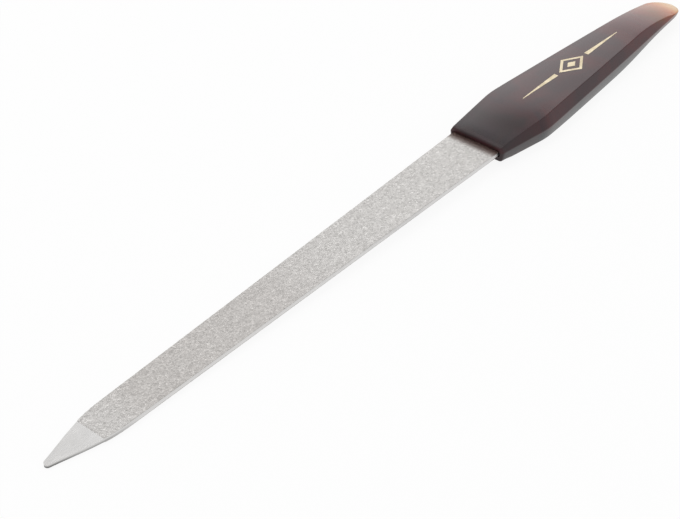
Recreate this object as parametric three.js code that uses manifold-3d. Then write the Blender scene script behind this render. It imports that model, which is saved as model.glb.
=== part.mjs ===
// A two-sided nail file: a flat pointed steel blade with sapphire grit on both faces, its tang
// locked inside a moulded handle that carries a stamped gold ornament.
// Millimetres. The point faces -X, the tail of the handle faces +X, and +Z is up.
// The origin is under the middle of the file, in the plane of the table on which it lies with the
// flat of its handle and the tip of its blade.

import * as THREE from "three";
import { mergeVertices } from "three/addons/utils/BufferGeometryUtils.js";
import Module from "manifold-3d";

const wasm = await Module();
wasm.setup();

// Blade: lengths run from the point, widths are full widths
const bladeReach = 90.8;
const bladeThickness = 0.6;
const bladeRootWidth = 8.9;
const bladePointWidth = 5.7;
const pointLength = 9.9;
const pointRadius = 0.48;
const pointBlend = 20;
const curveSteps = 8;

// Grit on the two faces of the blade
const gritThickness = 0.1;
const gritStart = 7.8;
const gritShort = 1.6;

// Tang and the posts that lock it
const bladeEntry = 4.6;
const tangWidth = 5;
const tangLength = 30;
const tangCorner = 1.2;
const postDiameter = 2.1;
const postSides = 20;
const postInset = 7.5;

// Clearances of the tang and of the blade in the handle
const mouthClearance = 0.12;
const tangClearance = 0.05;
const postClearance = 0.12;
const rootClearance = 0.3;

// Handle: lengths run from its front face, heights from its flat underside
const handleLength = 59.95;
const mouthHeight = 2.18;
const mouthWall = 0.56;
const mouthLip = 0.67;
const mouthChin = 0.89;
const shoulderSetback = 11.1;
const shoulderFlare = 1.29;
const shoulderRound = 1.5;
const sideBow = 0.08;
const sideDraft = THREE.MathUtils.degToRad(8.4);
const crestHeight = 4.24;
const crestRound = 5;
const crownRatio = 0.06;
const chinLength = 16.7;
const chinRound = 4;
const restEnd = 34.4;
const sweepLength = 19.7;
const fallLength = 10.9;
const fallRound = 6.5;
const fallAngle = THREE.MathUtils.degToRad(12.55);
const tailLength = 6.05;
const tailHalfWidth = 3.2;
const tailFullness = 3.85;
const tailTurn = THREE.MathUtils.degToRad(84);
const tailWall = 0.17;
const bevelFrontHeight = 0.89;
const bevelCrestHeight = 1.92;
const bevelEndHeight = 0.08;
const bevelRun = 0.515;
const ridgeClimb = 0.33;
const crestSteps = 8;
const bodySteps = 14;
const tailSteps = 7;
const crownSteps = 6;

// Gold ornament on the top of the handle
const foilThickness = 0.05;
const foilGap = 0.02;
const lozengeLength = 7.2;
const lozengeWidth = 4.2;
const lozengeLine = 0.45;
const pipLength = 2.4;
const ruleWidth = 0.8;
const ruleTip = 0.12;
const ruleSpace = 0.9;
const ruleMargin = 1.6;

// Sizes that follow from the ones above
const bladeDrop = Math.asin((mouthHeight - bladeThickness / 2) / bladeReach);
const handleFront = bladeReach * Math.cos(bladeDrop);
const overallLength = handleFront + handleLength;
const bladeRoot = bladeReach + bladeEntry;
const grittedThickness = bladeThickness + 2 * gritThickness;
const mouthHalfWidth = bladeRootWidth / 2 + mouthClearance;
const mouthHalfHeight = grittedThickness / 2 + mouthClearance;
const frontHalfWidth = mouthHalfWidth + mouthWall;
const frontTopHeight = mouthHeight + mouthHalfHeight + mouthLip;
const chinHeight = mouthHeight - mouthHalfHeight - mouthChin;
const shoulderHalfWidth = frontHalfWidth + shoulderFlare;
const postPlaces = [postInset, tangLength - postInset];
const ridgeFrontHeight = frontTopHeight - bevelFrontHeight;
const ridgeCrestHeight = crestHeight - bevelCrestHeight;
const tailStart = handleLength - tailLength;
const fallStart = handleLength - fallLength;
const flatEnd = fallStart - fallRound;
const flatMiddle = (shoulderSetback + flatEnd) / 2;
const ruleStart = lozengeLength / 2 + ruleSpace;
const ruleEnd = (flatEnd - shoulderSetback) / 2 - ruleMargin;

// Closed three.js geometry as a solid for cutting and joining
function toSolid(geometry) {
  const bare = geometry.clone();
  bare.deleteAttribute("normal");
  bare.deleteAttribute("uv");
  const merged = mergeVertices(bare);
  return new wasm.Manifold(new wasm.Mesh({
    numProp: 3,
    vertProperties: Float32Array.from(merged.attributes.position.array),
    triVerts: Uint32Array.from(merged.index.array),
  }));
}

function toGeometry(solid) {
  const result = solid.getMesh();
  const indexed = new THREE.BufferGeometry();
  indexed.setAttribute("position", new THREE.BufferAttribute(result.vertProperties, result.numProp));
  indexed.setIndex(new THREE.BufferAttribute(result.triVerts, 1));
  const geometry = indexed.toNonIndexed();
  geometry.computeVertexNormals();
  return geometry;
}

// Flat plate of a given outline, standing on a given height
function plate(outline, thickness, bottom) {
  const geometry = new THREE.ExtrudeGeometry(outline, {
    depth: thickness,
    bevelEnabled: false,
    curveSegments: curveSteps,
  });
  return geometry.translate(0, 0, bottom);
}

// Block that runs along X from one place to another, centred on the axis
function block(startX, endX, width, height) {
  const geometry = new THREE.BoxGeometry(endX - startX, width, height);
  return geometry.translate((startX + endX) / 2, 0, 0);
}

function upright(diameter, height, x) {
  const geometry = new THREE.CylinderGeometry(diameter / 2, diameter / 2, height, postSides);
  return geometry.rotateX(Math.PI / 2).translate(x, 0, 0);
}

// Outline of the blade with its tang. The rounded point, the straight flank, the blend and the
// long edge of one side follow each other, and the other side mirrors them.
function bladeOutline() {
  const corner = new THREE.Vector2(pointLength, bladePointWidth / 2);
  const root = new THREE.Vector2(bladeRoot, bladeRootWidth / 2);
  const nose = new THREE.Vector2(pointRadius, 0);
  const toCorner = corner.clone().sub(nose);
  const noseTurn = Math.acos(pointRadius / toCorner.length());
  const noseAngle = toCorner.angle() + noseTurn;
  const flankTilt = noseAngle - Math.PI / 2;
  const flank = new THREE.Vector2(Math.cos(flankTilt), Math.sin(flankTilt));
  const edge = root.clone().sub(corner).normalize();
  const blendReach = pointBlend * Math.tan((flank.angle() - edge.angle()) / 2);
  const blendStart = corner.clone().addScaledVector(flank, -blendReach);
  const blendEnd = corner.clone().addScaledVector(edge, blendReach);
  const tangHalf = tangWidth / 2;
  const tangEnd = bladeRoot + tangLength;

  const outline = new THREE.Shape();
  outline.absarc(nose.x, nose.y, pointRadius, noseAngle, 2 * Math.PI - noseAngle, false);
  outline.lineTo(blendStart.x, -blendStart.y);
  outline.quadraticCurveTo(corner.x, -corner.y, blendEnd.x, -blendEnd.y);
  outline.lineTo(root.x, -root.y);
  outline.lineTo(bladeRoot, -tangHalf);
  outline.lineTo(tangEnd - tangCorner, -tangHalf);
  outline.lineTo(tangEnd, -tangHalf + tangCorner);
  outline.lineTo(tangEnd, tangHalf - tangCorner);
  outline.lineTo(tangEnd - tangCorner, tangHalf);
  outline.lineTo(bladeRoot, tangHalf);
  outline.lineTo(root.x, root.y);
  outline.lineTo(blendEnd.x, blendEnd.y);
  outline.quadraticCurveTo(corner.x, corner.y, blendStart.x, blendStart.y);
  return outline;
}

function bladeGeometry() {
  let solid = toSolid(plate(bladeOutline(), bladeThickness, -bladeThickness / 2));
  for (const place of postPlaces) {
    const hole = upright(postDiameter + 2 * postClearance, 2 * bladeThickness, bladeRoot + place);
    solid = solid.subtract(toSolid(hole));
  }
  return toGeometry(solid);
}

// Grit layer that covers one face of the blade from the mask line to just inside the handle
function gritGeometry(bottom) {
  const cover = plate(bladeOutline(), gritThickness, bottom);
  const stretch = block(gritStart, bladeRoot - gritShort, 2 * bladeRootWidth, 2 * grittedThickness);
  return toGeometry(toSolid(cover).intersect(toSolid(stretch)));
}

// Line through a corner with a slope before and after it, rounded over a reach to either side
function bentLine(place, corner, height, slopeBefore, slopeAfter, reach) {
  const offset = place - corner;
  if (Math.abs(offset) >= reach) {
    return height + (offset < 0 ? slopeBefore : slopeAfter) * offset;
  }
  const ease = (slopeAfter - slopeBefore) * (offset + reach) ** 2 / (4 * reach);
  return height + slopeBefore * offset + ease;
}

// Half of the handle's width, which is greatest on the ridge of its sides. The sides bow a little
// between the shoulder and the round tail.
function handleHalfWidth(place) {
  const flare = shoulderFlare / shoulderSetback;
  const taper = (tailHalfWidth - shoulderHalfWidth) / (tailStart - shoulderSetback);
  const along = Math.max(0, place - shoulderSetback) / (tailStart - shoulderSetback);
  const side = bentLine(place, shoulderSetback, shoulderHalfWidth, flare, taper, shoulderRound);
  const intoTail = Math.max(0, place - tailStart) / tailLength;
  const narrowing = Math.sqrt(1 - intoTail ** tailFullness);
  return (side + 4 * sideBow * along * (1 - along)) * narrowing;
}

// Edge of the top: it rises to the crest at the shoulder, runs level, then falls to the tail
function topHeight(place) {
  const rise = (crestHeight - frontTopHeight) / shoulderSetback;
  const level = bentLine(place, shoulderSetback, crestHeight, rise, 0, crestRound);
  return level + bentLine(place, fallStart, 0, 0, -Math.tan(fallAngle), fallRound);
}

// Ridge of the sides, which the falling top meets near the tail
function ridgeHeight(place) {
  const before = (ridgeCrestHeight - ridgeFrontHeight) / shoulderSetback;
  const after = ridgeClimb / (handleLength - shoulderSetback);
  const ridge = bentLine(place, shoulderSetback, ridgeCrestHeight, before, after, shoulderRound);
  return Math.min(ridge, topHeight(place) - bevelEndHeight);
}

// Underside: a chin that slopes down from the mouth, the flat on which the handle rests, and a
// sweep up to the thin tail
function undersideHeight(place) {
  const chin = bentLine(place, chinLength, 0, -chinHeight / chinLength, 0, chinRound);
  const tailLift = ridgeHeight(handleLength) - tailWall;
  return chin + tailLift * THREE.MathUtils.smoothstep(place, restEnd, restEnd + sweepLength);
}

function topHalfWidth(place) {
  return handleHalfWidth(place) - bevelRun * (topHeight(place) - ridgeHeight(place));
}

// Middle line of the top, which is flat across at the front and crowned behind the shoulder
function apexHeight(place) {
  const crown = crownRatio * THREE.MathUtils.smoothstep(place, 0, shoulderSetback);
  return topHeight(place) + crown * topHalfWidth(place);
}

// Section across the handle: drafted sides from the underside to the ridge, a bevel from there to
// the edge of the top, and the shallow crown of the top
function handleSection(place) {
  const half = handleHalfWidth(place);
  const ridge = ridgeHeight(place);
  const underside = undersideHeight(place);
  const footHalf = half - Math.tan(sideDraft) * (ridge - underside);
  const topHalf = topHalfWidth(place);
  const crown = apexHeight(place) - topHeight(place);
  const section = [
    new THREE.Vector3(place, -half, ridge),
    new THREE.Vector3(place, -footHalf, underside),
    new THREE.Vector3(place, footHalf, underside),
    new THREE.Vector3(place, half, ridge),
  ];
  for (let step = 0; step <= crownSteps; step += 1) {
    const share = 1 - 2 * step / crownSteps;
    const height = topHeight(place) + crown * (1 - share ** 2);
    section.push(new THREE.Vector3(place, share * topHalf, height));
  }
  return section;
}

// Closed skin through a row of like sections, with flat ends
function loft(sections) {
  const count = sections[0].length;
  const points = sections.flat();
  const faces = [];
  for (let row = 0; row + 1 < sections.length; row += 1) {
    for (let side = 0; side < count; side += 1) {
      const here = row * count + side;
      const next = row * count + (side + 1) % count;
      faces.push(here, next + count, here + count);
      faces.push(here, next, next + count);
    }
  }
  const last = points.length - count;
  for (let side = 1; side + 1 < count; side += 1) {
    faces.push(0, side + 1, side);
    faces.push(last, last + side, last + side + 1);
  }
  const geometry = new THREE.BufferGeometry().setFromPoints(points);
  geometry.setIndex(faces);
  return geometry;
}

// Places along the handle at which its section is drawn
function sectionPlaces() {
  const places = [0];
  for (let step = 0; step <= crestSteps; step += 1) {
    places.push(shoulderSetback + crestRound * (2 * step / crestSteps - 1));
  }
  const bodyStart = shoulderSetback + crestRound;
  for (let step = 1; step < bodySteps; step += 1) {
    places.push(THREE.MathUtils.lerp(bodyStart, tailStart, step / bodySteps));
  }
  for (let step = 0; step <= tailSteps; step += 1) {
    const turn = tailTurn * step / tailSteps;
    places.push(tailStart + tailLength * Math.sin(turn) ** (2 / tailFullness));
  }
  return places;
}

// Solid on the line of the blade, which climbs into the handle from the mouth
function onBladeLine(geometry) {
  return toSolid(geometry.rotateY(-bladeDrop).translate(0, 0, mouthHeight));
}

function handleGeometry() {
  const solid = toSolid(loft(sectionPlaces().map(handleSection)));
  const mouthEnd = bladeEntry + rootClearance;
  const mouth = block(-mouthEnd, mouthEnd, 2 * mouthHalfWidth, 2 * mouthHalfHeight);
  const slotEnd = bladeEntry + tangLength + rootClearance;
  const slot = block(0, slotEnd, tangWidth + 2 * tangClearance, bladeThickness + 2 * tangClearance);
  let socket = onBladeLine(mouth).add(onBladeLine(slot));
  for (const place of postPlaces) {
    const post = upright(postDiameter, crestHeight, bladeEntry + place);
    socket = socket.subtract(onBladeLine(post));
  }
  return toGeometry(solid.subtract(socket));
}

// Flat gold patches. Their outlines lie along X about the middle of the ornament.
function diamond(path, length, width) {
  path.moveTo(-length / 2, 0);
  path.lineTo(0, -width / 2);
  path.lineTo(length / 2, 0);
  path.lineTo(0, width / 2);
  path.closePath();
  return path;
}

function lozengeOutline() {
  const scale = 1 - 2 * lozengeLine * Math.hypot(1 / lozengeLength, 1 / lozengeWidth);
  const ring = diamond(new THREE.Shape(), lozengeLength, lozengeWidth);
  ring.holes.push(diamond(new THREE.Path(), scale * lozengeLength, scale * lozengeWidth));
  return ring;
}

function pipOutline() {
  return diamond(new THREE.Shape(), pipLength, pipLength * lozengeWidth / lozengeLength);
}

function ruleOutline(direction) {
  const near = direction * ruleStart;
  const far = direction * ruleEnd;
  const rule = new THREE.Shape();
  rule.moveTo(near, -ruleWidth / 2);
  rule.lineTo(far, -ruleTip / 2);
  rule.lineTo(far, ruleTip / 2);
  rule.lineTo(near, ruleWidth / 2);
  rule.closePath();
  return rule;
}

const steel = { color: 0xcfcdcc, roughness: 0.3, metalness: 1 };
const grit = { color: 0xbfbbb8, roughness: 0.7, metalness: 0.3 };
const tortoiseshell = { color: 0x40302f, roughness: 0.2, metalness: 0 };
const gold = { color: 0xe0cf9a, roughness: 0.3, metalness: 1 };

function piece(name, geometry, finish) {
  const mesh = new THREE.Mesh(geometry, new THREE.MeshStandardMaterial(finish));
  mesh.name = name;
  return mesh;
}

const blade = new THREE.Group();
blade.position.z = bladeThickness / 2;
blade.rotation.y = -bladeDrop;
blade.add(piece("blade", bladeGeometry(), steel));
blade.add(piece("upper_grit", gritGeometry(bladeThickness / 2), grit));
blade.add(piece("lower_grit", gritGeometry(-bladeThickness / 2 - gritThickness), grit));

// The ornament lies along the middle of the crowned top, halfway between its shoulder and its fall
const flatStart = shoulderSetback + crestRound;
const apexFall = apexHeight(flatStart) - apexHeight(flatEnd);
const ornament = new THREE.Group();
ornament.position.set(flatMiddle, 0, apexHeight(flatMiddle));
ornament.rotation.y = Math.atan2(apexFall, flatEnd - flatStart);
ornament.add(piece("foil_lozenge", plate(lozengeOutline(), foilThickness, foilGap), gold));
ornament.add(piece("foil_pip", plate(pipOutline(), foilThickness, foilGap), gold));
ornament.add(piece("foil_rule_front", plate(ruleOutline(-1), foilThickness, foilGap), gold));
ornament.add(piece("foil_rule_rear", plate(ruleOutline(1), foilThickness, foilGap), gold));

const handle = new THREE.Group();
handle.position.x = handleFront;
handle.add(piece("handle", handleGeometry(), tortoiseshell));
handle.add(ornament);

const nailFile = new THREE.Group();
nailFile.position.x = -overallLength / 2;
nailFile.add(blade);
nailFile.add(handle);

export default nailFile;
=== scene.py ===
import math
import bpy
import numpy as np
from mathutils import Euler, Matrix, Vector


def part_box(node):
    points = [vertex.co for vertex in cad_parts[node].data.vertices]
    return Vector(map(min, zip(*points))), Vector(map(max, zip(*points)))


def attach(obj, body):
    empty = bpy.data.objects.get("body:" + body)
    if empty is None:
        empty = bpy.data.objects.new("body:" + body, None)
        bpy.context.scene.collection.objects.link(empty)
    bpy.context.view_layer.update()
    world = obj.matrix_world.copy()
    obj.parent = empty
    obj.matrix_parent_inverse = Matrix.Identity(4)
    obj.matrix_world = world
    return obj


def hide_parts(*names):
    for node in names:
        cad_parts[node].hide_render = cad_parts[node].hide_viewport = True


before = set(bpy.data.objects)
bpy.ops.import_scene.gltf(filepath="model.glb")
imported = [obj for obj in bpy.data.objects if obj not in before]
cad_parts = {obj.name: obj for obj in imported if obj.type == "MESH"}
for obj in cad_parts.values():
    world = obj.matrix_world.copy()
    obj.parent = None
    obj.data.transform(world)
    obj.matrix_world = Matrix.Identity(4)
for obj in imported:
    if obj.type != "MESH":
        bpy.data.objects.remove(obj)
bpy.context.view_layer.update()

# Steel blade
# One flat blank, punched from thin spring steel and polished, with a slim rounded point in front.
# Its narrow tang runs into the handle, where two posts of the handle's plastic pass through its holes.

grit_thickness = 0.0001
blade_low, blade_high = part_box("blade")
grit_low, grit_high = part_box("upper_grit")
point_length = grit_low[0] - blade_low[0]
blade_slope = (grit_high[2] - grit_low[2] - grit_thickness) / (grit_high[0] - grit_low[0])
steel_half = (grit_low[2] - blade_slope * point_length) / 2
weld_distance = 0.000001
flat_angle = math.radians(0.3)
flank_fullness = 0.00016
flank_reach = 0.0122
flank_cuts = 15
punched_edge = 0.00024
punched_steps = 3
point_fade = 1.5
steel_crease = math.radians(35)
face_lean = 0.85
scratch_fineness = 40
scratch_slant = 0.06
scratch_stretch = 0.05
smudge_low = 0.35
smudge_high = 0.65
steel_dull = (0.77, 0.76, 0.75)
steel_light = (0.85, 0.84, 0.83)
steel_mark_scale = 260
steel_roughness = (0.16, 0.34)
steel_bump = (0.12, 0.00001)
# Painted shade on the punched edge's wall: darkest at the point and lighter over this length; its upper
# part takes one even tone as painted light
point_shade_length = 0.0138
edge_tip = (0.2, 0.198, 0.195)
edge_dark = (0.41, 0.405, 0.4)
edge_bright = (0.74, 0.73, 0.72)
edge_light = (0.69, 0.68, 0.67, 1)
edge_lit_from = 0.3
edge_lit_to = 0.75
edge_mark_scale = 400
edge_roughness = (0.3, 0.5)
edge_bump = (0.2, 0.00001)


def make_active(piece):
    bpy.ops.object.select_all(action="DESELECT")
    piece.select_set(True)
    bpy.context.view_layer.objects.active = piece


def copy_of_node(node, name):
    piece = bpy.data.objects.new(name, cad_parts[node].data.copy())
    piece.data.materials.clear()
    bpy.context.collection.objects.link(piece)
    make_active(piece)
    bpy.ops.object.mode_set(mode="EDIT")
    bpy.ops.mesh.select_all(action="SELECT")
    bpy.ops.mesh.remove_doubles(threshold=weld_distance)
    bpy.ops.object.mode_set(mode="OBJECT")
    return piece


def apply_modifier(piece, kind, **settings):
    make_active(piece)
    modifier = piece.modifiers.new(kind.lower(), kind)
    for name, value in settings.items():
        setattr(modifier, name, value)
    bpy.ops.object.modifier_apply(modifier=modifier.name)


def smooth_shaded(piece, crease):
    make_active(piece)
    bpy.ops.object.shade_smooth_by_angle(angle=crease)
    apply_modifier(piece, "WEIGHTED_NORMAL", keep_sharp=True)


def clear_selection(kind):
    bpy.ops.object.mode_set(mode="EDIT")
    bpy.ops.mesh.select_mode(type=kind)
    bpy.ops.mesh.select_all(action="DESELECT")
    bpy.ops.object.mode_set(mode="OBJECT")


def join_flat_faces():
    bpy.ops.object.mode_set(mode="EDIT")
    bpy.ops.mesh.select_all(action="SELECT")
    bpy.ops.mesh.dissolve_limited(angle_limit=flat_angle)
    bpy.ops.object.mode_set(mode="OBJECT")


# Bevel weights of the steel's long edges: full at the point, none from the start of the grit
def mark_edges(piece):
    corners = piece.data.vertices
    rounding = piece.data.attributes.new("bevel_weight_edge", "FLOAT", "EDGE")
    for edge in piece.data.edges:
        start, end = (corners[index].co for index in edge.vertices)
        lengthwise = abs(start.z - end.z) < steel_half
        near_point = max(0, (grit_low[0] - min(start.x, end.x)) / point_length)
        rounding.data[edge.index].value = near_point**point_fade * lengthwise


# How much fuller than straight the blade's sides are around its point
def flank_bulge(x):
    share = np.clip((x - blade_low[0]) / flank_reach, 0, 1)
    return flank_fullness * np.sin(math.pi * share) ** 2


def fill_flanks(piece):
    clear_selection("EDGE")
    corners = piece.data.vertices
    for edge in piece.data.edges:
        start, end = (corners[index].co for index in edge.vertices)
        edge.select = max(start.x, end.x) < grit_low[0] and (start - end).length > flank_reach / 2
    bpy.ops.object.mode_set(mode="EDIT")
    bpy.ops.mesh.subdivide(number_cuts=flank_cuts)
    bpy.ops.object.mode_set(mode="OBJECT")
    for vertex in piece.data.vertices:
        vertex.co.y += np.sign(vertex.co.y) * flank_bulge(vertex.co.x)


# Height of each point in the steel's thickness, from 0 at the lower face to 1 at the upper one
def mark_height(piece):
    heights = piece.data.attributes.new("edge_height", "FLOAT", "POINT")
    for vertex, height in zip(piece.data.vertices, heights.data):
        lift = vertex.co.z - blade_slope * (vertex.co.x - blade_low[0])
        height.value = lift / (2 * steel_half)


blade = copy_of_node("blade", "steel_blade")
join_flat_faces()
mark_edges(blade)
fill_flanks(blade)
join_flat_faces()
apply_modifier(blade, "BEVEL", width=punched_edge, segments=punched_steps, limit_method="WEIGHT")
smooth_shaded(blade, steel_crease)
mark_height(blade)


def add_node(tree, kind, values=None, **settings):
    node = tree.nodes.new("ShaderNode" + kind)
    for name, value in settings.items():
        setattr(node, name, value)
    for name, value in (values or {}).items():
        node.inputs[name].default_value = value
    return node


def add_ramp(tree, factor, stops):
    ramp = add_node(tree, "ValToRGB")
    elements = ramp.color_ramp.elements
    while len(elements) < len(stops):
        elements.new(0.5)
    for element, (place, colour) in zip(elements, stops):
        element.position = place
        element.color = (*colour, 1)
    tree.links.new(factor, ramp.inputs["Fac"])
    return ramp.outputs["Color"]


# A value between start and end as a share from 0 to 1
def add_share(tree, value, start, end):
    share = add_node(tree, "MapRange", {"From Min": start, "From Max": end})
    tree.links.new(value, share.inputs["Value"])
    return share.outputs["Result"]


# A share from 0 to 1 as a value between low and high
def add_range(tree, share, low, high):
    spread = add_node(tree, "MapRange", {"To Min": low, "To Max": high})
    tree.links.new(share, spread.inputs["Value"])
    return spread.outputs["Result"]


# The place on the piece, and how far along the file it lies
def add_place(tree):
    place = add_node(tree, "TexCoord").outputs["Object"]
    axis = add_node(tree, "SeparateXYZ")
    tree.links.new(place, axis.inputs["Vector"])
    return place, axis.outputs["X"]


# The Mix node keeps its colour sockets at these places in its lists
mix_first = 6
mix_second = 7
mix_result = 2


def new_finish(name, **values):
    finish = bpy.data.materials.new(name)
    finish.use_nodes = True
    shader = finish.node_tree.nodes["Principled BSDF"]
    for socket, value in values.items():
        shader.inputs[socket].default_value = value
    return finish, finish.node_tree, shader


# Marks that handling leaves on every polished surface: soft smudges, and fine scratches along the file
def handling_marks():
    group = bpy.data.node_groups.new("handling_marks", "ShaderNodeTree")
    group.interface.new_socket("Mark Scale", in_out="INPUT", socket_type="NodeSocketFloat")
    group.interface.new_socket("Smudge", in_out="OUTPUT", socket_type="NodeSocketFloat")
    group.interface.new_socket("Scratch", in_out="OUTPUT", socket_type="NodeSocketFloat")
    inlet = group.nodes.new("NodeGroupInput")
    outlet = group.nodes.new("NodeGroupOutput")
    place = add_node(group, "TexCoord")
    smudge = add_node(group, "TexNoise", {"Detail": 4, "Roughness": 0.6, "Distortion": 0.4})
    lengthwise = {"Rotation": (0, 0, scratch_slant), "Scale": (scratch_stretch, 1, 1)}
    along = add_node(group, "Mapping", lengthwise)
    finer = add_node(group, "Math", {1: scratch_fineness}, operation="MULTIPLY")
    scratch = add_node(group, "TexNoise", {"Detail": 2, "Roughness": 0.5})
    group.links.new(place.outputs["Object"], smudge.inputs["Vector"])
    group.links.new(inlet.outputs["Mark Scale"], smudge.inputs["Scale"])
    group.links.new(place.outputs["Object"], along.inputs["Vector"])
    group.links.new(along.outputs["Vector"], scratch.inputs["Vector"])
    group.links.new(inlet.outputs["Mark Scale"], finer.inputs[0])
    group.links.new(finer.outputs["Value"], scratch.inputs["Scale"])
    group.links.new(smudge.outputs["Fac"], outlet.inputs["Smudge"])
    group.links.new(scratch.outputs["Fac"], outlet.inputs["Scratch"])
    return group


marks_group = handling_marks()


def add_marks(tree, scale):
    marks = add_node(tree, "Group", node_tree=marks_group)
    marks.inputs["Mark Scale"].default_value = scale
    return marks.outputs["Smudge"], marks.outputs["Scratch"]


def add_bump(tree, shader, height, strength, depth):
    bump = add_node(tree, "Bump", {"Strength": strength, "Distance": depth})
    tree.links.new(height, bump.inputs["Height"])
    tree.links.new(bump.outputs["Normal"], shader.inputs["Normal"])


steel, tree, shader = new_finish("polished_steel", Metallic=1)
smudge, scratch = add_marks(tree, steel_mark_scale)
steel_stops = [(smudge_low, steel_dull), (smudge_high, steel_light)]
tree.links.new(add_ramp(tree, smudge, steel_stops), shader.inputs["Base Color"])
tree.links.new(add_range(tree, scratch, *steel_roughness), shader.inputs["Roughness"])
add_bump(tree, shader, scratch, *steel_bump)

punched, tree, shader = new_finish("punched_steel_edge", Metallic=1)
smudge, scratch = add_marks(tree, edge_mark_scale)
along = add_place(tree)[1]
# The edge's wall is painted darker toward the point as painted shade, and its upper part is painted one
# even tone as painted light
point_shade = add_share(tree, along, blade_low[0], blade_low[0] + point_shade_length)
point_shade_stops = [(0.08, edge_tip), (0.36, edge_dark), (0.6, edge_dark), (1, edge_bright)]
height = add_node(tree, "Attribute", attribute_name="edge_height").outputs["Fac"]
lit = add_node(tree, "Mix", {mix_second: edge_light}, data_type="RGBA")
tree.links.new(add_share(tree, height, edge_lit_from, edge_lit_to), lit.inputs["Factor"])
tree.links.new(add_ramp(tree, point_shade, point_shade_stops), lit.inputs[mix_first])
tree.links.new(lit.outputs[mix_result], shader.inputs["Base Color"])
tree.links.new(add_range(tree, smudge, *edge_roughness), shader.inputs["Roughness"])
add_bump(tree, shader, scratch, *edge_bump)

blade.data.materials.append(steel)
blade.data.materials.append(punched)
for polygon in blade.data.polygons:
    polygon.material_index = int(abs(polygon.normal.z) < face_lean)
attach(blade, "root")
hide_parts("blade")

# Sapphire grit
# A layer of fine corundum grains on each face of the blade, set in bright plated metal. It starts at a
# straight masked line behind the bare point and runs on under the handle's front. Its front half is
# painted a little darker as shade, its last stretch before the handle a little lighter as painted light,
# and a painted shadow with a dark painted reflection of the handle's front lies on it at the handle.

handle_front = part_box("handle")[0][0]
feather = 0.0002
least_grit = 0.000004
grain_step = 0.0001
grain_pitch = 0.00026
grain_height = 0.00003
clump_pitch = 0.0011
clump_height = 0.00002
grain_scale = 3600
fine_scale = 2600
fine_share = 0.4
grit_roughness = (0.45, 0.6)
grit_bump = (0.65, 0.00009)
# Painted light and shade along the grit: its front half a little darker, its last stretch before the
# handle a little lighter
untinted = (1, 1, 1)
shaded_front = (0.925, 0.914, 0.906)
shaded_rear = (0.926, 0.915, 0.91)
lit_near_handle = (1.04, 1.04, 1.04)
# Length of the painted shadow and dark painted reflection of the handle's front on the grit
handle_shadow_length = 0.0022


def blade_half_width(x):
    corners = np.array([vertex.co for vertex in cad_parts["upper_grit"].data.vertices])
    side = corners[corners[:, 1] > 0]
    order = np.argsort(side[:, 0])
    return np.interp(x, side[order, 0], side[order, 1]) + flank_bulge(x)


# A flat grid whose points are moved to the places that a shape gives for their two shares, each 0 to 1
def drawn_grid(name, columns, rows, shape):
    bpy.ops.object.select_all(action="DESELECT")
    bpy.ops.mesh.primitive_grid_add(x_subdivisions=columns, y_subdivisions=rows, size=1)
    piece = bpy.context.object
    piece.name = name
    flat = np.empty(3 * len(piece.data.vertices))
    piece.data.vertices.foreach_get("co", flat)
    unit = flat.reshape(-1, 3) + 0.5
    piece.data.vertices.foreach_set("co", shape(unit[:, 0], unit[:, 1]).ravel())
    piece.data.update()
    return piece


def relief(piece, kind, pitch, height):
    pattern = bpy.data.textures.new(kind.lower(), kind)
    pattern.noise_scale = pitch
    apply_modifier(
        piece, "DISPLACE", texture=pattern, texture_coords="LOCAL",
        direction="Z", strength=height, mid_level=0.5
    )


def turn_faces_out():
    bpy.ops.mesh.select_all(action="SELECT")
    bpy.ops.mesh.normals_make_consistent(inside=False)
    bpy.ops.object.mode_set(mode="OBJECT")


def grit_layer(node, name, facing):
    low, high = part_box(node)
    length = high[0] - low[0]
    slope = (high[2] - low[2] - grit_thickness) / length
    back = low[2] + max(-facing, 0) * grit_thickness

    def steel_face(x):
        return back + slope * (x - low[0])

    def shape(along, across):
        x = low[0] + along * length
        y = (2 * across - 1) * facing * blade_half_width(x)
        rise = np.clip(along * length / feather, 0, 1)
        return np.column_stack([x, y, steel_face(x) + facing * grit_thickness * rise])

    columns = round(length / grain_step)
    rows = round((high[1] - low[1]) / grain_step)
    layer = drawn_grid(name, columns, rows, shape)
    relief(layer, "VORONOI", grain_pitch, -facing * grain_height)
    relief(layer, "CLOUDS", clump_pitch, facing * clump_height)
    for vertex in layer.data.vertices:
        steel_height = steel_face(vertex.co.x)
        vertex.co.z = steel_height + facing * max(facing * (vertex.co.z - steel_height), least_grit)
    bpy.ops.object.mode_set(mode="EDIT")
    bpy.ops.mesh.select_all(action="SELECT")
    bpy.ops.mesh.region_to_loop()
    bpy.ops.mesh.extrude_edges_move()
    bpy.ops.object.mode_set(mode="OBJECT")
    for vertex in layer.data.vertices:
        if vertex.select:
            vertex.co.z = steel_face(vertex.co.x)
    bpy.ops.object.mode_set(mode="EDIT")
    bpy.ops.mesh.edge_face_add()
    turn_faces_out()
    layer.data.materials.append(grit)
    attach(layer, "root")
    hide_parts(node)


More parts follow.
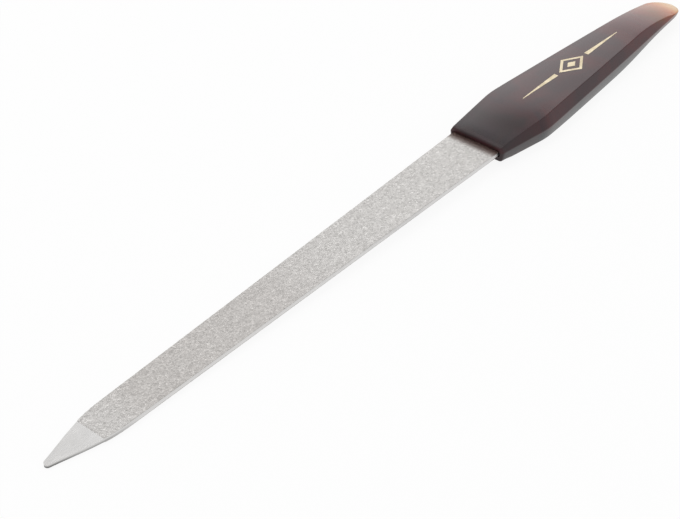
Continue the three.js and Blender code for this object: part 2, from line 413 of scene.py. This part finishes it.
grit_stops = [
    (0.15, (0.45, 0.437, 0.424)),
    (0.35, (0.54, 0.526, 0.512)),
    (0.65, (0.59, 0.575, 0.56)),
    (0.85, (0.7, 0.684, 0.668)),
]
painted_shade_stops = [
    (0.04, untinted),
    (0.1, shaded_front),
    (0.42, shaded_rear),
    (0.54, untinted),
    (0.9, untinted),
    (0.96, lit_near_handle),
]
handle_shadow_stops = [
    (0.1, untinted),
    (0.28, (0.74, 0.7, 0.69)),
    (0.5, (0.4, 0.345, 0.33)),
    (0.75, (0.25, 0.18, 0.165)),
    (1.0, (0.21, 0.13, 0.115)),
]
grit, tree, shader = new_finish("sapphire_grit", Metallic=0.9)
place, along = add_place(tree)
grain = add_node(tree, "TexVoronoi", {"Scale": grain_scale})
fine = add_node(tree, "TexNoise", {"Scale": fine_scale, "Detail": 3, "Roughness": 0.7})
tree.links.new(place, grain.inputs["Vector"])
tree.links.new(place, fine.inputs["Vector"])
grey = add_node(tree, "SeparateColor")
tree.links.new(grain.outputs["Color"], grey.inputs["Color"])
blend = add_node(tree, "Mix", {"Factor": fine_share}, data_type="FLOAT")
tree.links.new(grey.outputs["Red"], blend.inputs["A"])
tree.links.new(fine.outputs["Fac"], blend.inputs["B"])
# Painted shade and painted light along the grit multiply the grains' colour
painted_shade = add_node(tree, "Mix", {"Factor": 1}, data_type="RGBA", blend_type="MULTIPLY")
along_grit = add_share(tree, along, grit_low[0], handle_front)
tree.links.new(add_ramp(tree, blend.outputs["Result"], grit_stops), painted_shade.inputs[mix_first])
tree.links.new(add_ramp(tree, along_grit, painted_shade_stops), painted_shade.inputs[mix_second])
# A band of painted shadow and painted reflection of the handle's dark front, darker and browner toward
# the handle
handle_shadow = add_node(tree, "Mix", {"Factor": 1}, data_type="RGBA", blend_type="MULTIPLY")
near_handle = add_share(tree, along, handle_front - handle_shadow_length, handle_front)
tree.links.new(painted_shade.outputs[mix_result], handle_shadow.inputs[mix_first])
tree.links.new(add_ramp(tree, near_handle, handle_shadow_stops), handle_shadow.inputs[mix_second])
tree.links.new(handle_shadow.outputs[mix_result], shader.inputs["Base Color"])
tree.links.new(add_range(tree, grey.outputs["Green"], *grit_roughness), shader.inputs["Roughness"])
peaks = add_node(tree, "Math", operation="SUBTRACT")
tree.links.new(fine.outputs["Fac"], peaks.inputs[0])
tree.links.new(grain.outputs["Distance"], peaks.inputs[1])
add_bump(tree, shader, peaks.outputs["Value"], *grit_bump)
grit_layer("upper_grit", "sapphire_grit_upper", 1)
grit_layer("lower_grit", "sapphire_grit_lower", -1)

# Tortoiseshell handle
# One plastic moulding, injected around the tang in a mould that parts along the ridge of its sides.
# Dark brown with faint red mottling, polished, and clear amber where it thins out at the tail.
# Lengths run from the handle's front, and heights from the table.

handle_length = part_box("handle")[1][0] - handle_front
front_half = 0.00513
front_top = 0.00337
front_rim = 0.00035
front_corner = 0.0006
front_roll = 0.00009
roll_length = 0.0028
shoulder_place = 0.0111
shoulder_half = 0.00642
shoulder_round = 0.0015
crest_height = 0.00424
crest_round = 0.005
front_crown = 0.04
crown_ratio = 0.06
tail_crown = 0.115
crown_start = 0.049
crown_length = 0.008
top_round = 0.0001
bevel_run = 0.515
bevel_end = 0.00008
ridge_front = 0.00248
ridge_shoulder = 0.00232
ridge_climb = 0.00033
ridge_round = 0.00012
side_bow = 0.00008
side_draft = math.radians(8.4)
tail_draft = math.radians(3.8)
draft_start = 0.040
draft_length = 0.010
waist_round = 0.0004
foot_draft = math.radians(2.6)
foot_round = 0.00012
front_foot_round = 0.0007
front_foot_length = 0.003
chin_height = 0.00077
chin_length = 0.0167
chin_round = 0.004
rest_end = 0.0344
sweep_length = 0.0197
fall_length = 0.0109
fall_start = handle_length - fall_length
fall_round = 0.0065
fall_slope = math.tan(math.radians(12.55))
tail_length = 0.00605
tail_start = handle_length - tail_length
tail_half = 0.0032
tail_fullness = 3.85
tail_wall = 0.00017
tail_close = 0.985
rim_rings = 8
body_rings = 96
tail_rings = 28
arc_points = 6
top_points = 6
corner_share = 0.45
seam_weld = 0.0000001


# Two straight lines through a corner, joined by a curve within reach of it
def bent_line(place, corner, value, slope_before, slope_after, reach):
    offset = place - corner
    straight = value + np.where(offset < 0, slope_before, slope_after) * offset
    ease = (slope_after - slope_before) * (offset + reach) ** 2 / (4 * reach)
    return np.where(np.abs(offset) < reach, value + slope_before * offset + ease, straight)


def smooth_step(place, start, length):
    share = np.clip((place - start) / length, 0, 1)
    return share**2 * (3 - 2 * share)


def half_width(place):
    flare = (shoulder_half - front_half) / shoulder_place
    taper = (tail_half - shoulder_half) / (tail_start - shoulder_place)
    side = bent_line(place, shoulder_place, shoulder_half, flare, taper, shoulder_round)
    along = np.maximum(place - shoulder_place, 0) / (tail_start - shoulder_place)
    into_tail = np.clip((place - tail_start) / tail_length, 0, 1)
    return (side + 4 * side_bow * along * (1 - along)) * np.sqrt(1 - into_tail**tail_fullness)


def top_edge(place):
    rise = (crest_height - front_top) / shoulder_place
    level = bent_line(place, shoulder_place, crest_height, rise, 0, crest_round)
    roll = front_roll * np.clip(1 - place / roll_length, 0, 1) ** 2
    return level - roll + bent_line(place, fall_start, 0, 0, -fall_slope, fall_round)


def ridge(place):
    before = (ridge_shoulder - ridge_front) / shoulder_place
    after = ridge_climb / (handle_length - shoulder_place)
    line = bent_line(place, shoulder_place, ridge_shoulder, before, after, shoulder_round)
    return np.minimum(line, top_edge(place) - bevel_end)


def underside(place):
    chin = bent_line(place, chin_length, 0, -chin_height / chin_length, 0, chin_round)
    tail_lift = ridge(handle_length) - tail_wall
    return chin + tail_lift * smooth_step(place, rest_end, sweep_length)


def top_half_width(place):
    return half_width(place) - bevel_run * (top_edge(place) - ridge(place))


def crown_height(place, across):
    share = np.clip(across / top_half_width(place), -1, 1)
    ratio = front_crown + (crown_ratio - front_crown) * smooth_step(place, 0, shoulder_place)
    ratio += (tail_crown - crown_ratio) * smooth_step(place, crown_start, crown_length)
    return ratio * top_half_width(place) * (1 - share**2)


# A corner drawn as a curve that leaves both of its sides at reach, or nearer on a short side
def rounded(before, corner, after, reach):
    into = before - corner
    out = after - corner
    into_length = np.linalg.norm(into)
    out_length = np.linalg.norm(out)
    reach = min(reach, into_length * corner_share, out_length * corner_share)
    start = corner + reach * into / into_length
    end = corner + reach * out / out_length
    turn = np.linspace(0, 1, arc_points)[:, None]
    return (1 - turn) ** 2 * start + 2 * turn * (1 - turn) * corner + turn**2 * end


# One half of the handle's section, from the middle of the underside round to the middle of the top
def half_section(place):
    top = float(top_edge(place))
    low = float(underside(place))
    keel = np.array([0, low])
    side = np.array([float(half_width(place)), float(ridge(place))])
    draft = side_draft + tail_draft * float(smooth_step(place, draft_start, draft_length))
    half_wall = (side[1] - low) / 2
    waist = side - half_wall * np.array([math.tan(draft), 1])
    foot = waist - half_wall * np.array([math.tan(draft + foot_draft), 1])
    front_share = 1 - float(smooth_step(place, 0, front_foot_length))
    foot_reach = foot_round + (front_foot_round - foot_round) * front_share
    brow = np.array([float(top_half_width(place)), top])
    middle = np.array([0, top])
    runs = [
        keel[None],
        rounded(keel, foot, waist, foot_reach),
        rounded(foot, waist, side, waist_round),
        rounded(waist, side, brow, ridge_round),
        rounded(side, brow, middle, top_round),
        np.linspace(brow, middle, top_points + 2)[2:],
    ]
    points = np.vstack(runs)
    crowned = points[-arc_points - top_points:]
    crowned[:, 1] += crown_height(place, crowned[:, 0])
    return points


def ring(place, inset):
    half = half_section(place)
    loop = np.vstack([half, (half * [-1, 1])[-2:0:-1]])
    loop = np.vstack([loop, loop[:1]])
    centre = (loop.max(axis=0) + loop.min(axis=0)) / 2
    reach = (loop.max(axis=0) - loop.min(axis=0)) / 2
    return centre + (loop - centre) * (1 - inset / reach)


# Where the rings stand along the handle, and how far the ones at its rounded front are drawn in
def handle_rings():
    rim_turn = np.linspace(0, math.pi / 2, rim_rings, endpoint=False)
    rim = front_rim * (1 - np.cos(rim_turn))
    body = np.linspace(front_rim, tail_start, body_rings, endpoint=False)
    tail_turn = np.linspace(0, math.pi / 2 * tail_close, tail_rings)
    tail = tail_start + tail_length * np.sin(tail_turn) ** (2 / tail_fullness)
    places = np.concatenate([rim, body, tail])
    insets = np.zeros((len(places), 2))
    insets[:rim_rings] = np.outer(1 - np.sin(rim_turn), [front_corner, front_rim])
    return places, insets


def handle_shape(along, around):
    places, insets = handle_rings()
    loops = np.array([ring(place, inset) for place, inset in zip(places, insets)])
    loops[-1] = loops[-1].mean(axis=0)
    row = np.round(along * (len(places) - 1)).astype(int)
    column = np.round(around * (loops.shape[1] - 1)).astype(int)
    return np.column_stack([handle_front + places[row], loops[row, column]])


ring_count = rim_rings + body_rings + tail_rings
ring_points = len(ring(shoulder_place, 0)) - 1
handle = drawn_grid("tortoiseshell_handle", ring_count - 1, ring_points, handle_shape)
bpy.ops.object.mode_set(mode="EDIT")
bpy.ops.mesh.select_all(action="SELECT")
bpy.ops.mesh.remove_doubles(threshold=seam_weld)
bpy.ops.mesh.select_all(action="DESELECT")
bpy.ops.mesh.select_non_manifold()
bpy.ops.mesh.fill_holes(sides=0)
turn_faces_out()

# The socket is cut as one block: a mouth for the gritted blade, and a slot for the tang around two posts
blade_entry = 0.0046
mouth_clearance = 0.00012
end_gap = 0.0003
front_overcut = 0.0003
mouth_height = steel_half + blade_slope * (handle_front - blade_low[0])
mouth_half_wide = blade_high[1] + mouth_clearance
mouth_half_high = steel_half + grit_thickness + mouth_clearance
tang_clearance = 0.00005
tang_half = 0.0025
tang_length = 0.030
tang_end = blade_entry + tang_length
post_radius = 0.00105
post_inset = 0.0075
post_sides = 32
shell_crease = math.radians(40)


def on_blade_line(piece):
    piece.rotation_euler = (0, -math.atan(blade_slope), 0)
    piece.location = (handle_front, 0, mouth_height)
    bpy.ops.object.transform_apply(location=True, rotation=True, scale=True)


def socket_block(name, end, half_wide, half_high):
    bpy.ops.object.select_all(action="DESELECT")
    bpy.ops.mesh.primitive_cube_add(size=2, location=(end / 2, 0, 0))
    piece = bpy.context.object
    piece.name = name
    piece.scale = (end / 2, half_wide, half_high)
    bpy.ops.object.transform_apply(location=True, rotation=True, scale=True)
    on_blade_line(piece)
    return piece


def combine(piece, other, operation):
    apply_modifier(piece, "BOOLEAN", object=other, operation=operation, solver="EXACT")
    bpy.data.objects.remove(other)


slot = socket_block("slot", tang_end + end_gap, tang_half + tang_clearance, steel_half + tang_clearance)
for post_place in (blade_entry + post_inset, tang_end - post_inset):
    bpy.ops.object.select_all(action="DESELECT")
    bpy.ops.mesh.primitive_cylinder_add(
        vertices=post_sides, radius=post_radius, depth=crest_height, location=(post_place, 0, 0)
    )
    post = bpy.context.object
    bpy.ops.object.transform_apply(location=True, rotation=True, scale=True)
    on_blade_line(post)
    combine(slot, post, "DIFFERENCE")
mouth = socket_block("mouth", blade_entry + end_gap, mouth_half_wide, mouth_half_high)
for vertex in mouth.data.vertices:
    if vertex.co.x < handle_front + front_rim:
        vertex.co.x -= front_overcut
combine(mouth, slot, "UNION")
combine(handle, mouth, "DIFFERENCE")
smooth_shaded(handle, shell_crease)

# The plastic's colour follows how much of it the eye looks into: little at the tail, most at the front.
# To that depth are added painted shade on the wall, the bevel and the front of the top, and a painted
# glow at the front lip.
deepest = 0.0054
# Painted shade added to the depth on the wall, the bevel, the front of the top and the front bevel, and
# a painted glow at the lip
side_shade = 0.002
bevel_shade = 0.0006
front_shade = 0.0011
front_shade_length = 0.022
front_bevel_shade = 0.0003
lip_glow = 0.0003
lip_length = 0.0012
brow_band = 0.25
mottle_scale = 150
mottle_low = 0.3
mottle_high = 0.7
depth_sway = 0.08
shell_mark_scale = 180
shell_roughness = (0.16, 0.3)
shell_bump = (0.05, 0.000008)
rim_roughness = 0.55
rim_dull_start = handle_front + front_rim / 2
rim_dull_end = handle_front + 3 * front_rim


def mark_depth(piece):
    spots = np.array([vertex.co for vertex in piece.data.vertices])
    place = np.clip(spots[:, 0] - handle_front, 0, handle_length)
    low = underside(place)
    high = top_edge(place)
    middle = ridge(place)
    up_bevel = (spots[:, 2] - middle) / (high - middle)
    on_top = np.clip(1 - (1 - up_bevel) / brow_band, 0, 1)
    down_wall = np.clip((middle - spots[:, 2]) / (middle - low), 0, 1)
    depth = np.where(place < shoulder_place, crest_height, high - low)
    # Painted shade: the front of the top, the bevel and the wall below the ridge are made darker, and
    # the lip is painted with a glow
    depth += front_shade * np.clip(1 - place / front_shade_length, 0, 1) * on_top
    depth += bevel_shade * (1 - on_top) + side_shade * down_wall
    depth += front_bevel_shade * np.clip(1 - place / shoulder_place, 0, 1) * (1 - on_top)
    depth -= lip_glow * np.clip(1 - place / lip_length, 0, 1)
    layer = piece.data.attributes.new("depth", "FLOAT", "POINT")
    layer.data.foreach_set("value", depth / deepest)


shell_stops = [
    (0.056, (0.71, 0.52, 0.28)),
    (0.093, (0.63, 0.41, 0.22)),
    (0.126, (0.61, 0.33, 0.13)),
    (0.169, (0.55, 0.22, 0.062)),
    (0.209, (0.44, 0.134, 0.036)),
    (0.287, (0.27, 0.086, 0.028)),
    (0.344, (0.2, 0.066, 0.025)),
    (0.402, (0.16, 0.047, 0.021)),
    (0.478, (0.12, 0.028, 0.02)),
    (0.583, (0.068, 0.014, 0.015)),
    (0.667, (0.056, 0.01, 0.012)),
    (0.778, (0.045, 0.009, 0.011)),
    (0.89, (0.037, 0.008, 0.011)),
    (0.98, (0.014, 0.01, 0.012)),
]
tint_stops = [(0.38, (0.65, 0.95, 1.12)), (0.62, (1.7, 1, 0.95))]

mark_depth(handle)
shell, tree, shader = new_finish("tortoiseshell", IOR=1.49)
place, along = add_place(tree)
mottle_look = {"Scale": mottle_scale, "Detail": 3, "Roughness": 0.55, "Distortion": 0.8}
mottle = add_node(tree, "TexNoise", mottle_look)
tree.links.new(place, mottle.inputs["Vector"])
depth = add_node(tree, "Attribute", attribute_name="depth").outputs["Fac"]
cloud = add_share(tree, mottle.outputs["Fac"], mottle_low, mottle_high)
clouded = add_node(tree, "Math", operation="MULTIPLY")
tree.links.new(depth, clouded.inputs[0])
tree.links.new(add_range(tree, cloud, 1 - depth_sway, 1 + depth_sway), clouded.inputs[1])
tint = add_node(tree, "Mix", data_type="RGBA", blend_type="MULTIPLY")
tree.links.new(depth, tint.inputs["Factor"])
tree.links.new(add_ramp(tree, clouded.outputs["Value"], shell_stops), tint.inputs[mix_first])
tree.links.new(add_ramp(tree, mottle.outputs["Fac"], tint_stops), tint.inputs[mix_second])
tree.links.new(tint.outputs[mix_result], shader.inputs["Base Color"])
smudge, scratch = add_marks(tree, shell_mark_scale)
behind_rim = add_share(tree, along, rim_dull_start, rim_dull_end)
polish = add_node(tree, "Math", operation="MAXIMUM")
tree.links.new(add_range(tree, behind_rim, rim_roughness, shell_roughness[0]), polish.inputs[0])
tree.links.new(add_range(tree, smudge, *shell_roughness), polish.inputs[1])
tree.links.new(polish.outputs["Value"], shader.inputs["Roughness"])
add_bump(tree, shader, scratch, *shell_bump)
handle.data.materials.append(shell)
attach(handle, "root")
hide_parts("handle")

# Gold foil ornament
# Four patches of pale gold foil, hot stamped into the polished top of the handle:
# an open lozenge around a small pip, and a tapered rule before and behind it.

foil_lift = 0.000004
foil_thickness = 0.000012
foil_cuts = 5
foil_crease = math.radians(40)
upward_lean = 0.5
gold_dull = (0.48, 0.41, 0.28)
gold_light = (0.62, 0.54, 0.39)
gold_mark_scale = 700
gold_roughness = (0.42, 0.28)
gold_bump = (0.15, 0.00002)


def foil_patch(node):
    patch = copy_of_node(node, node + "_leaf")
    clear_selection("FACE")
    for polygon in patch.data.polygons:
        polygon.select = polygon.normal.z < upward_lean
    bpy.ops.object.mode_set(mode="EDIT")
    bpy.ops.mesh.delete(type="FACE")
    bpy.ops.mesh.select_all(action="SELECT")
    bpy.ops.mesh.quads_convert_to_tris()
    bpy.ops.mesh.subdivide(number_cuts=foil_cuts)
    bpy.ops.object.mode_set(mode="OBJECT")
    for vertex in patch.data.vertices:
        place = vertex.co.x - handle_front
        vertex.co.z = float(top_edge(place) + crown_height(place, vertex.co.y)) + foil_lift
    apply_modifier(patch, "SOLIDIFY", thickness=foil_thickness, offset=1)
    smooth_shaded(patch, foil_crease)
    patch.data.materials.append(gold)
    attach(patch, "root")
    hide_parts(node)


gold, tree, shader = new_finish("gold_foil", Metallic=1)
smudge = add_marks(tree, gold_mark_scale)[0]
gold_stops = [(smudge_low, gold_dull), (smudge_high, gold_light)]
tree.links.new(add_ramp(tree, smudge, gold_stops), shader.inputs["Base Color"])
tree.links.new(add_range(tree, smudge, *gold_roughness), shader.inputs["Roughness"])
add_bump(tree, shader, smudge, *gold_bump)
for node in ("foil_lozenge", "foil_pip", "foil_rule_front", "foil_rule_rear"):
    foil_patch(node)

# Floor
# A plain white table top. The file lies on it with the flat of its handle and the tip of its blade.
# Seen directly or in a reflection it is nearly white, and it still takes the file's soft shadow.

floor_size = 4
floor_white = (0.93, 0.93, 0.93, 1)
floor_glow = 0.9
floor_gap = 0.00002


def add_seen(tree):
    rays = add_node(tree, "LightPath")
    direct = add_node(tree, "Math", operation="ADD")
    tree.links.new(rays.outputs["Is Camera Ray"], direct.inputs[0])
    tree.links.new(rays.outputs["Is Glossy Ray"], direct.inputs[1])
    seen = add_node(tree, "Math", operation="ADD", use_clamp=True)
    tree.links.new(direct.outputs["Value"], seen.inputs[0])
    tree.links.new(rays.outputs["Is Transmission Ray"], seen.inputs[1])
    return seen.outputs["Value"]


bpy.ops.object.select_all(action="DESELECT")
bpy.ops.mesh.primitive_plane_add(size=floor_size, location=(0, 0, -floor_gap))
floor = bpy.context.object
floor.name = "table_top"
table = bpy.data.materials.new("white_table")
table.use_nodes = True
tree = table.node_tree
tree.nodes.remove(tree.nodes["Principled BSDF"])
matte = add_node(tree, "BsdfDiffuse", {"Color": floor_white})
bright = add_node(tree, "Emission", {"Strength": 1})
surface = add_node(tree, "MixShader")
tree.links.new(matte.outputs["BSDF"], surface.inputs[1])
tree.links.new(bright.outputs["Emission"], surface.inputs[2])
tree.links.new(add_range(tree, add_seen(tree), 0, floor_glow), surface.inputs["Fac"])
tree.links.new(surface.outputs["Shader"], tree.nodes["Material Output"].inputs["Surface"])
floor.data.materials.append(table)

# Studio light
# Soft white light from all round, a tall softbox behind the handle and a smaller one overhead.
# A softbox's heading is measured from +Y towards +X, and a radiance of 1 shows as white.

ambient = 0.72
white = (1, 1, 1, 1)
world = bpy.data.worlds.new("studio")
bpy.context.scene.world = world
world.use_nodes = True
sky = world.node_tree.nodes["Background"]
sky.inputs["Color"].default_value = white
sky.inputs["Strength"].default_value = ambient


def softbox(name, heading, elevation, distance, width, height, radiance):
    turn = math.radians(heading)
    rise = math.radians(elevation)
    toward = Vector((math.sin(turn) * math.cos(rise), math.cos(turn) * math.cos(rise), math.sin(rise)))
    bpy.ops.object.select_all(action="DESELECT")
    bpy.ops.object.light_add(type="AREA", location=toward * distance)
    lamp = bpy.context.object
    lamp.name = name
    lamp.rotation_euler = toward.to_track_quat("Z", "Y").to_euler()
    lamp.data.shape = "RECTANGLE"
    lamp.data.size = width
    lamp.data.size_y = height
    lamp.data.energy = radiance * math.pi * width * height
    lamp.visible_camera = False


softbox("back_softbox", heading=60, elevation=20, distance=0.8, width=0.5, height=0.58, radiance=1.12)
softbox("top_softbox", heading=345, elevation=68, distance=0.8, width=0.45, height=0.45, radiance=2.2)

# Camera
# Above and in front of the point, on its near side, looking along the file to the tail.
# The heading is measured from +Y towards +X, and the dip from level.

camera_place = (-0.164195, -0.1189, 0.14569)
camera_heading = math.radians(50.887)
camera_dip = math.radians(37.923)
camera_roll = math.radians(0.961)
camera_lens = 86.56
camera_sensor = 36
camera_clip = 0.01
bpy.ops.object.select_all(action="DESELECT")
bpy.ops.object.camera_add(location=camera_place)
camera = bpy.context.object
aim = Euler((math.pi / 2 - camera_dip, 0, -camera_heading)).to_matrix()
camera.rotation_euler = (aim @ Matrix.Rotation(camera_roll, 3, "Z")).to_euler()
camera.data.sensor_fit = "HORIZONTAL"
camera.data.sensor_width = camera_sensor
camera.data.lens = camera_lens
camera.data.clip_start = camera_clip
bpy.context.scene.camera = camera
bpy.context.scene.view_settings.view_transform = "Standard"
